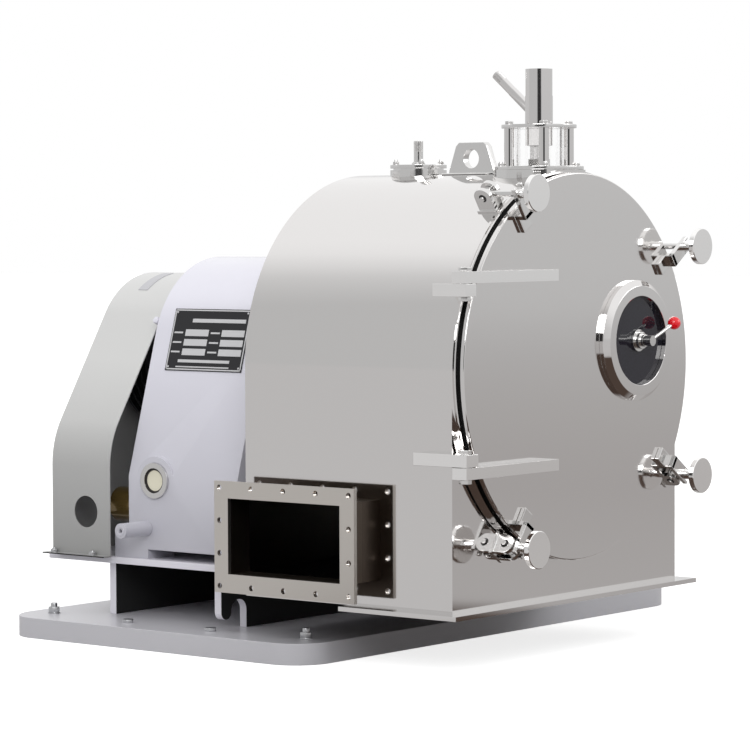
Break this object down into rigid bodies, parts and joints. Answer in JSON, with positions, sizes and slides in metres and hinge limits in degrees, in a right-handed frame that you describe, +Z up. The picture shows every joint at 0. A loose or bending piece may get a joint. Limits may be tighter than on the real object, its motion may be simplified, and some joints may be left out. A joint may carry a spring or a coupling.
{
  "type": "filtering centrifuge",
  "caption": "Horizontal filtering centrifuge with a hinged round front door, polished casing, side duct, bearing housing, belt guard and motor on a base plate.",
  "frame": {"origin": "underside of the base plate, below the rotor axis and the middle of the bearing housing", "axes": "+Z up, the rotor turns about +Y, the door faces -Y and the side duct faces -X"},
  "size_m": [1.498, 1.402, 1.314],
  "materials": {
    "base_paint": "satin",
    "pedestal_paint": "satin",
    "housing_paint": "gloss",
    "polished_steel": "polished",
    "clear_glass": "gloss",
    "drain_steel": "satin",
    "oily_brass": "satin",
    "black_plate": "satin",
    "black_rubber": "matte",
    "red_plastic": "gloss",
    "rotor_steel": "satin",
    "pulley_iron": "satin",
    "motor_paint": "satin",
    "guard_paint": "satin"
  },
  "bodies": {
    "machine": {"base_plate": "base_paint", "motor_rails": "base_paint", "pedestal_rear_plate": "pedestal_paint", "pedestal_front_plate": "pedestal_paint", "tray_plate": "pedestal_paint", "bearing_housing": "housing_paint", "sight_ring": "polished_steel", "casing_shell": "polished_steel", "casing_front_wall": "polished_steel", "casing_rear_wall": "polished_steel", "casing_partition": "polished_steel", "casing_floor": "polished_steel", "casing_outlet_flange": "polished_steel", "door_seat_ring": "polished_steel", "duct_body": "polished_steel", "duct_flange": "polished_steel", "hinge_bars": "polished_steel", "hinge_pins": "polished_steel", "clamp_clevises": "polished_steel", "inspection_neck": "polished_steel", "inspection_cover": "polished_steel", "lifting_lug": "polished_steel", "feed_saddle": "polished_steel", "feed_lower_plate": "polished_steel", "feed_top_plate": "polished_steel", "feed_posts": "polished_steel", "feed_pipe": "polished_steel", "feed_drop_pipe": "polished_steel", "sight_glass": "clear_glass", "feed_sight_tube": "clear_glass", "drain_stub": "drain_steel", "oil_pump": "oily_brass", "nameplate": "black_plate", "door_gasket": "black_rubber", "drive_belts": "black_rubber", "motor": "motor_paint", "belt_guard": "guard_paint"},
    "door": {"door_panel": "polished_steel", "door_straps": "polished_steel", "clamp_lugs": "polished_steel", "clamp_knobs": "polished_steel", "port_ring": "polished_steel", "port_glass": "clear_glass", "wiper_gland": "polished_steel"},
    "wiper": {"wiper_lever": "polished_steel", "wiper_ball": "red_plastic"},
    "rotor": {"rotor_shaft": "rotor_steel", "basket": "rotor_steel", "scroll": "rotor_steel", "driven_pulley": "pulley_iron"},
    "motor_drive": {"motor_pulley": "pulley_iron"},
    "stud_upper_left": {"clamp_stud_upper_left": "polished_steel"},
    "stud_upper_right": {"clamp_stud_upper_right": "polished_steel"},
    "stud_lower_right": {"clamp_stud_lower_right": "polished_steel"},
    "stud_lower_left": {"clamp_stud_lower_left": "polished_steel"}
  },
  "joints": [
    {"name": "door_hinge", "type": "hinge", "parent": "machine", "child": "door", "pos_m": [-0.451, -0.913, 0.652], "axis": [0, 0, -1], "range_deg": [0, 110]},
    {"name": "wiper", "type": "hinge", "parent": "door", "child": "wiper", "pos_m": [0.2105, -0.939, 0.7036], "axis": [0, -1, 0], "range_deg": [-80, 80]},
    {"name": "rotor_spin", "type": "hinge", "parent": "machine", "child": "rotor", "pos_m": [0, 0, 0.652], "axis": [0, 1, 0], "continuous": true},
    {"name": "motor_spin", "type": "hinge", "parent": "machine", "child": "motor_drive", "pos_m": [0.64, 0.19, 0.25], "axis": [0, 1, 0], "continuous": true},
    {"name": "clamp_upper_left", "type": "hinge", "parent": "machine", "child": "stud_upper_left", "pos_m": [-0.26215, -0.832, 1.03485], "axis": [-0.8251, 0, -0.565], "range_deg": [0, 90]},
    {"name": "clamp_upper_right", "type": "hinge", "parent": "machine", "child": "stud_upper_right", "pos_m": [0.38194, -0.832, 0.91548], "axis": [-0.5678, 0, 0.8231], "range_deg": [0, 90]},
    {"name": "clamp_lower_right", "type": "hinge", "parent": "machine", "child": "stud_lower_right", "pos_m": [0.38194, -0.889, 0.38852], "axis": [0.5678, 0, 0.8231], "range_deg": [0, 90]},
    {"name": "clamp_lower_left", "type": "hinge", "parent": "machine", "child": "stud_lower_left", "pos_m": [-0.26215, -0.889, 0.26915], "axis": [0.8251, 0, -0.565], "range_deg": [0, 90]}
  ],
  "couplings": [
    {"joint": "motor_spin", "follows": "rotor_spin", "ratio": 1.9}
  ]
}
